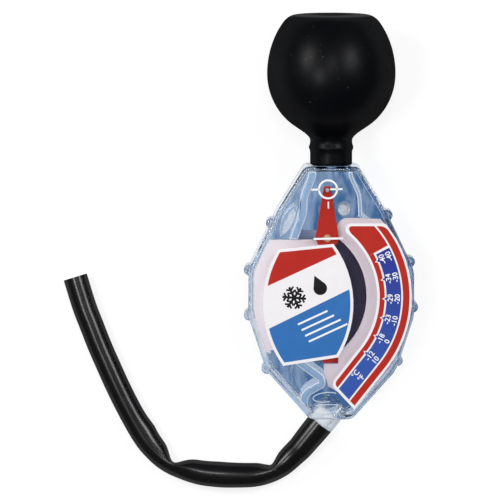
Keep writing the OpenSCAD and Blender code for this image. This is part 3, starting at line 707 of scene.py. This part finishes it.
print("stage: bulb")
bulb = {
    "radius": 25.6, "height": 36.4, "up": 23.6, "domeUp": 31, "crownR": 13.2, "crownRound": 3.4, "dish": 0.25,
    "neckR": 8.4, "neckL": 10.2, "neckRound": 0.35, "lift": 0.1, "beadY": 7, "beadH": 0.55, "coneY": -18.4,
    "flare": (2.6, 5.0), "flareDown": 0.5, "wall": 2.2, "crownT": 4.6, "boreR": 6.3, "boreTop": 14.5,
    "sides": 96, "neckSteps": 12, "flareSteps": 16, "lowSteps": 16, "domeSteps": 20, "crownSteps": 12,
    "dishShares": (0.9, 0.7, 0.45, 0.2), "inLowSteps": 12, "inDomeSteps": 8,
}


# so many points on a smooth arc from the first point to the last, pulled towards those between
def bend(points, steps):
    arc = []
    for i in range(1, steps + 1):
        row = points
        while len(row) > 1:
            row = [tuple(p + (q - p) * i / steps for p, q in zip(a, b)) for a, b in zip(row, row[1:])]
        arc.append(row[0])
    return arc


def domeR(y):
    return bulb["radius"] * math.sqrt(1 - (y / bulb["domeUp"]) ** 2)


def bulbOutside():
    b = bulb
    first = b["lift"] + b["neckRound"]
    points = [(b["boreR"], b["lift"]), (b["neckR"] - b["neckRound"], b["lift"]), (b["neckR"], first)]
    neckTop = b["neckL"] - b["flareDown"]
    for i in range(1, b["neckSteps"] + 1):
        y = first + (neckTop - first) * i / b["neckSteps"]
        points.append((b["neckR"] + b["beadH"] * math.exp(-(y - b["beadY"]) ** 2), y))
    cone = math.asin(b["coneY"] / b["radius"])
    coneR, coneTop = b["radius"] * math.cos(cone), b["height"] + b["coneY"]
    away, back = b["flare"]
    points += bend([points[-1], (b["neckR"], neckTop + away),
                    (coneR + math.sin(cone) * back, coneTop - math.cos(cone) * back), (coneR, coneTop)],
                   b["flareSteps"])
    for i in range(1, b["lowSteps"] + 1):
        a = cone * (1 - i / b["lowSteps"])
        points.append((b["radius"] * math.cos(a), b["height"] + b["radius"] * math.sin(a)))
    rim, top = b["up"] - b["crownRound"], b["height"] + b["up"]
    rises = [rim * i / b["domeSteps"] for i in range(1, b["domeSteps"] + 1)]
    points += [(domeR(rise), b["height"] + rise) for rise in rises]
    (r0, y0), (r1, y1) = points[-2:]
    corner = (r1 + (r1 - r0) * (top - y1) / (y1 - y0), top)
    points += bend([points[-1], corner, (b["crownR"], top)], b["crownSteps"])
    return points + [(b["crownR"] * share, top - b["dish"] * (1 - share)) for share in b["dishShares"]]


def bulbInside():
    b = bulb
    inR = b["radius"] - b["wall"]
    points = [(b["boreR"], b["boreTop"])]
    for i in range(1, b["inLowSteps"] + 1):
        a = math.asin(b["coneY"] / b["radius"]) * (1 - i / b["inLowSteps"])
        points.append((inR * math.cos(a), b["height"] + inR * math.sin(a)))
    reach = b["up"] - b["crownT"]
    rises = [reach * i / b["inDomeSteps"] for i in range(1, b["inDomeSteps"] + 1)]
    return points + [(domeR(rise) - b["wall"], b["height"] + rise) for rise in rises]


def makeBulb():
    sides = bulb["sides"]
    points, faces, starts = [], [], []
    for profile in (bulbOutside(), bulbInside()):
        first = len(points)
        starts.append(first)
        for radius, y in profile:
            for k in range(sides):
                across, out = ray(360 * k / sides)
                points.append(caseMatrix @ Vector((radius * across, y, radius * out)))
        points.append(caseMatrix @ Vector((0, profile[-1][1], 0)))
        top = first + (len(profile) - 1) * sides
        for k in range(sides):
            m = (k + 1) % sides
            for a in range(first, top, sides):
                faces.append((a + k, a + sides + k, a + sides + m, a + m))
            faces.append((top + k, len(points) - 1, top + m))
    for k in range(sides):
        m = (k + 1) % sides
        faces.append((starts[0] + k, starts[1] + k, starts[1] + m, starts[0] + m))
    mesh = closedMesh("squeezeBulb", points, faces)
    piece = makePiece("squeezeBulb", mesh, bulbRubber, "case", "bulb_rubber")
    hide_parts("squeeze_bulb", "bulb_crown")
    length = bulb["height"] + bulb["up"]
    travel = jointRows["bulb_squeeze"]["range_m"][1] / mm
    (length - travel) / length
    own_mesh(piece)


makeBulb()

print("stage: clear shells")
shells = {"front_shell": {"name": "frontShell", "slot": "clear_front", "finish": clearFront},
          "rear_shell": {"name": "rearShell", "slot": "clear_rear", "finish": clearRear}}
shellEdge = {"merge": 0.00006, "flat": 0.6, "width": 0.0002, "segments": 3, "corner": 32}
ribEdge = {  # the leaf-shaped rib is thinner, so its round is smaller
    "level": 7.9, "near": 0.02, "width": 0.0007, "segments": 4, "leaf": (-17.2, -21.6), "leafTurn": 65,
    "leafHalf": (7.6, 2.7), "leafShare": 0.55}


# how round an edge of a rib's top is, 0 for any other edge
def ribWeight(ends):
    if any(abs(p.z - ribEdge["level"]) > ribEdge["near"] for p in ends):
        return 0.0
    middle = (ends[0] + ends[1]).xy / 2 - Vector(ribEdge["leaf"])
    across, up = ray(ribEdge["leafTurn"])
    reach = (abs(middle.x * across + middle.y * up), abs(middle.y * across - middle.x * up))
    return ribEdge["leafShare"] if all(r < h for r, h in zip(reach, ribEdge["leafHalf"])) else 1.0


# a copy of a CAD solid with its edges eased, and more so round the rib tops
def easedCopy(nodeName, edge):
    bm = bmesh.new()
    bm.from_mesh(frame["nodes"][nodeName].data)
    bmesh.ops.remove_doubles(bm, verts=bm.verts, dist=edge["merge"])
    bmesh.ops.dissolve_degenerate(bm, dist=edge["merge"], edges=bm.edges)
    bmesh.ops.dissolve_limit(bm, angle_limit=math.radians(edge["flat"]), verts=bm.verts, edges=bm.edges)
    weight = bm.edges.layers.float.new("bevel_weight_edge")
    toCase = caseMatrix.inverted()
    for line in bm.edges:
        if line.calc_face_angle(0) > math.radians(edge["corner"]):
            line[weight] = ribWeight([toCase @ v.co for v in line.verts])
    mesh = bpy.data.meshes.new(nodeName + "Eased")
    bm.to_mesh(mesh)
    bm.free()
    held = link(bpy.data.objects.new("eased", mesh))
    for sizes, method in ((ribEdge, "WEIGHT"), (edge, "ANGLE")):
        ease = held.modifiers.new("ease", "BEVEL")
        ease.width = sizes["width"]
        ease.segments = sizes["segments"]
        ease.limit_method = method
        ease.angle_limit = math.radians(edge["corner"])
        ease.use_clamp_overlap = False
        ease.loop_slide = False
    return settled(held)


for nodeName, shell in shells.items():
    mesh = easedCopy(nodeName, shellEdge)
    piece = makePiece(shell["name"], mesh, shell["finish"], "case", shell["slot"])
    mesh.set_sharp_from_angle(angle=math.radians(shellEdge["corner"]))
    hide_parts(nodeName)
    print(shell["name"], len(mesh.polygons), "faces")

print("stage: print")


# a tree of named inputs, and the sockets that they give
def openTree(name, inputs):
    tree = bpy.data.node_groups.new(name, "GeometryNodeTree")
    for label, kind in inputs.items():
        tree.interface.new_socket(label, in_out="INPUT", socket_type="NodeSocket" + kind)
    tree.interface.new_socket("Made", in_out="OUTPUT", socket_type="NodeSocketGeometry")
    box = NodeBox(tree)
    given = box.nodes.new("NodeGroupInput")
    return tree, box, {label: Num(box, given.outputs[label]) for label in inputs}


def closeTree(box, shape, finish):
    solid = box.node("GeometryNodeRealizeInstances", {}, {"Geometry": shape})
    box.node("NodeGroupOutput", {}, {"Made": box.node("GeometryNodeSetMaterial", {}, {
        "Geometry": solid, "Material": finish})})


# copies of a shape, each moved by Step, turned by Turn and longer by Grow than the one before
def repeatTree():
    tree, box, given = openTree("repeatShape", {"Shape": "Geometry", "Count": "Int", "Step": "Vector",
                                                "Turn": "Float", "Grow": "Float", "Finish": "Material"})
    index = box.node("GeometryNodeInputIndex", {}, {})
    place = box.node("ShaderNodeVectorMath", {"operation": "SCALE"}, {0: given["Step"], "Scale": index})
    points = box.node("GeometryNodePoints", {}, {"Count": given["Count"], "Position": place})
    turn = box.node("ShaderNodeCombineXYZ", {}, {"Z": index * given["Turn"]})
    size = box.node("ShaderNodeCombineXYZ", {}, {"X": index * given["Grow"] + 1, "Y": 1, "Z": 1})
    copies = box.node("GeometryNodeInstanceOnPoints", {}, {"Points": points, "Instance": given["Shape"],
                                                           "Rotation": turn, "Scale": size})
    closeTree(box, copies, given["Finish"])
    return tree


# a flat line of ink along each path of edges
def lineTree():
    tree, box, given = openTree("inkLine", {"Path": "Geometry", "Width": "Float", "Thickness": "Float",
                                            "Finish": "Material"})
    path = box.node("GeometryNodeMeshToCurve", {}, {"Mesh": given["Path"]})
    level = box.node("GeometryNodeSetCurveNormal", {"mode": "Z_UP"}, {"Curve": path})
    section = box.node("GeometryNodeCurvePrimitiveQuadrilateral", {}, {"Width": given["Width"],
                                                                       "Height": given["Thickness"]})
    drawn = box.node("GeometryNodeCurveToMesh", {}, {"Curve": level, "Profile Curve": section,
                                                     "Fill Caps": True})
    closeTree(box, drawn, given["Finish"])
    return tree


repeatShape, inkLine = repeatTree(), lineTree()


# what a tree makes of a mesh
def grown(mesh, tree, sizes):
    held = link(bpy.data.objects.new("grown", mesh))
    change = held.modifiers.new("grow", "NODES")
    change.node_group = tree
    for item in tree.interface.items_tree:
        if item.in_out == "INPUT" and item.name in sizes:
            change[item.identifier] = sizes[item.name]
    return settled(held)


def inkLines(paths, width, finish):
    bm = bmesh.new()
    for path, closed in paths:
        spots = [bm.verts.new((x, y, 0)) for x, y in path]
        for a, b in zip(spots, spots[1:] + spots[:1] if closed else spots[1:]):
            bm.edges.new((a, b))
    mesh = bpy.data.meshes.new("paths")
    bm.to_mesh(mesh)
    bm.free()
    return grown(mesh, inkLine, {"Width": width, "Thickness": printT, "Finish": finish})


# a flat shape of ink from its outline
def inkShape(outline):
    n = len(outline)
    points = [(x, y, z) for z in (-printT / 2, printT / 2) for x, y in outline]
    sides = [(i, (i + 1) % n, n + (i + 1) % n, n + i) for i in range(n)]
    return closedMesh("shape", points, [tuple(range(n)), tuple(range(n, 2 * n)), *sides])


# joins meshes drawn on the flat into one print at its place on the case
def printPiece(name, drawn, level, finish, slotName):
    bm = bmesh.new()
    for mesh, spot, turn in drawn:
        mesh.transform(caseMatrix @ Matrix.Translation((*spot, level + printT / 2))
                       @ Matrix.Rotation(math.radians(turn), 4, "Z"))
        bm.from_mesh(mesh)
    bmesh.ops.remove_doubles(bm, verts=bm.verts, dist=weld * mm)
    between = [face for face in bm.faces if all(len(edge.link_faces) > 2 for edge in face.edges)]
    bmesh.ops.delete(bm, geom=between, context="FACES")  # walls where two shapes meet
    bmesh.ops.recalc_face_normals(bm, faces=bm.faces)
    mesh = bpy.data.meshes.new(name)
    bm.to_mesh(mesh)
    bm.free()
    makePiece(name, mesh, finish, "case", slotName, smooth=False)


sight = {"centre": (-1.4, -9.0), "ring": 3.6, "line": 0.75, "left": -6.6, "right": 5.8, "inRight": 0.9,
         "tick": (-4.9, -7.7), "tickW": 0.55, "index": (-6.2, 5.6, -19.7), "indexW": 0.8, "turn": 1.3,
         "overlap": 0.3, "steps": 72}


def makeSight():
    s = sight
    ring = [tuple(s["ring"] * c for c in ray(360 * i / s["steps"])) for i in range(s["steps"])]
    cross = [(ring, True), ([(s["left"], 0), (s["overlap"] - s["ring"], 0)], False),
             ([(s["inRight"], 0), (s["right"], 0)], False)]
    x0, x1, y = s["index"]
    drawn = [inkLines(cross, s["line"], inkWhite),
             inkLines([([(0, s["tick"][0]), (0, s["tick"][1])], False)], s["tickW"], inkWhite),
             inkLines([([(x0, y), (x1, y)], False)], s["indexW"], inkWhite)]
    placed = [(mesh, s["centre"], s["turn"]) for mesh in drawn]
    printPiece("sightPrint", placed, faceZ, inkWhite, "sticker_white")


makeSight()

# painted highlights, drawn as pale lines on the case's front where the tube enters it
tubeGlintLines = {"at": (-2.0, -92.5), "half": (5.2, 1.9), "turn": 6, "arc": (35, 285), "width": 0.42,
             "foot": [(-4.9, -2.9), (-0.6, -2.75), (4.7, -3.6)], "arcSteps": 40, "footSteps": 12}


def makeTubeGlintLines():
    t = tubeGlintLines
    first, last = t["arc"]
    ways = [ray(first + (last - first) * i / t["arcSteps"]) for i in range(t["arcSteps"] + 1)]
    bow = [tuple(h * c for h, c in zip(t["half"], way)) for way in ways]
    foot = [t["foot"][0], *bend(t["foot"], t["footSteps"])]
    drawn = inkLines([(bow, False), (foot, False)], t["width"], glintBead)
    printPiece("tubeGlintLines", [(drawn, t["at"], t["turn"])], faceZ, glintBead, "clear_front")


makeTubeGlintLines()

scaleNumbers = {
    "pairs": [("-40", "-40"), ("-34", "-30"), ("-29", "-20"), ("-23", "-10"), ("-18", "0"), ("-12", "10")],
    "units": ("°C", "°F"), "unitAt": 9.2, "inner": 38.4, "outer": 41.2, "size": 3.0, "bold": 0.05,
    "curveSteps": 3,
}


def wordMesh(word):
    curve = bpy.data.curves.new("word", "FONT")
    curve.body = word
    curve.size = scaleNumbers["size"]
    curve.offset = scaleNumbers["bold"]
    curve.align_x = "CENTER"
    curve.align_y = "CENTER"
    curve.extrude = printT / 2
    curve.resolution_u = scaleNumbers["curveSteps"]
    return settled(link(bpy.data.objects.new("word", curve)))


def makeNumbers():
    s, n = scaleSticker, scaleNumbers
    radii = (n["inner"], n["outer"])
    drawn = []
    for i, pair in enumerate(n["pairs"]):
        angle = s["firstTick"] - s["tickStep"] * i
        way = ray(angle)
        for word, radius in zip(pair, radii):
            drawn.append((wordMesh(word), tuple(pivot[k] + radius * way[k] for k in (0, 1)), angle + 90))
    out, along = ray(s["bend"]), ray(s["bend"] - 90)
    for word, radius in zip(n["units"], radii):
        spot = tuple(pivot[k] + radius * out[k] + n["unitAt"] * along[k] for k in (0, 1))
        drawn.append((wordMesh(word), spot, s["bend"] + 90))
    printPiece("scaleNumbers", drawn, faceZ + labelT, inkWhite, "sticker_white")


makeNumbers()

nameMarks = {
    "turn": 25,
    "flake": {"at": (-14.8, -52.4), "arms": 6, "armL": 4.7, "armW": 0.95, "barbs": (1.7, 3.1), "barbL": 1.5,
              "barbW": 0.75, "barbTurn": 60},
    "drop": {"at": (-4.4, -48.6), "radius": 2.7, "tip": 5.6, "steps": 40},
    "rules": {"at": (-7.4, -60.4), "length": 13, "count": 4, "step": 2.7, "shift": 1.0, "grow": 0.1,
              "width": 0.75},
}


# one arm of the snowflake, from the middle out, with its barbs
def armOutline(s):
    half, (up, out) = s["armW"] / 2, ray(s["barbTurn"])
    right = [(half, half / math.tan(math.pi / s["arms"]))]
    for y in s["barbs"]:
        right += [(half, y), (half + s["barbL"] * out, y + s["barbL"] * up),
                  (half + s["barbL"] * out - s["barbW"] * up, y + s["barbL"] * up + s["barbW"] * out),
                  (half, y + s["barbW"] / out)]
    right.append((half, s["armL"]))
    return [(0, 0), *right, *[(-x, y) for x, y in reversed(right)]]


def dropOutline(s):
    touch = math.degrees(math.asin(s["radius"] / s["tip"]))
    around = [ray(touch - (180 + 2 * touch) * i / s["steps"]) for i in range(s["steps"] + 1)]
    return [(0, s["tip"]), *[(s["radius"] * x, s["radius"] * y) for x, y in around]]


def makeMarks():
    m = nameMarks
    flake, rules = m["flake"], m["rules"]
    arms = grown(inkShape(armOutline(flake)), repeatShape, {
        "Count": flake["arms"], "Turn": 2 * math.pi / flake["arms"], "Finish": inkBlack})
    printPiece("coldMarks", [(arms, flake["at"], m["turn"]),
                             (inkShape(dropOutline(m["drop"])), m["drop"]["at"], m["turn"])],
               faceZ + labelT, inkBlack, "float_black")
    rule = inkLines([([(-rules["length"] / 2, 0), (rules["length"] / 2, 0)], False)], rules["width"], inkWhite)
    rows = grown(rule, repeatShape, {"Count": rules["count"], "Step": (rules["shift"], -rules["step"], 0),
                                     "Grow": rules["grow"], "Finish": inkWhite})
    printPiece("ruleLines", [(rows, rules["at"], m["turn"])], faceZ + labelT, inkWhite, "sticker_white")


makeMarks()

print("stage: done")
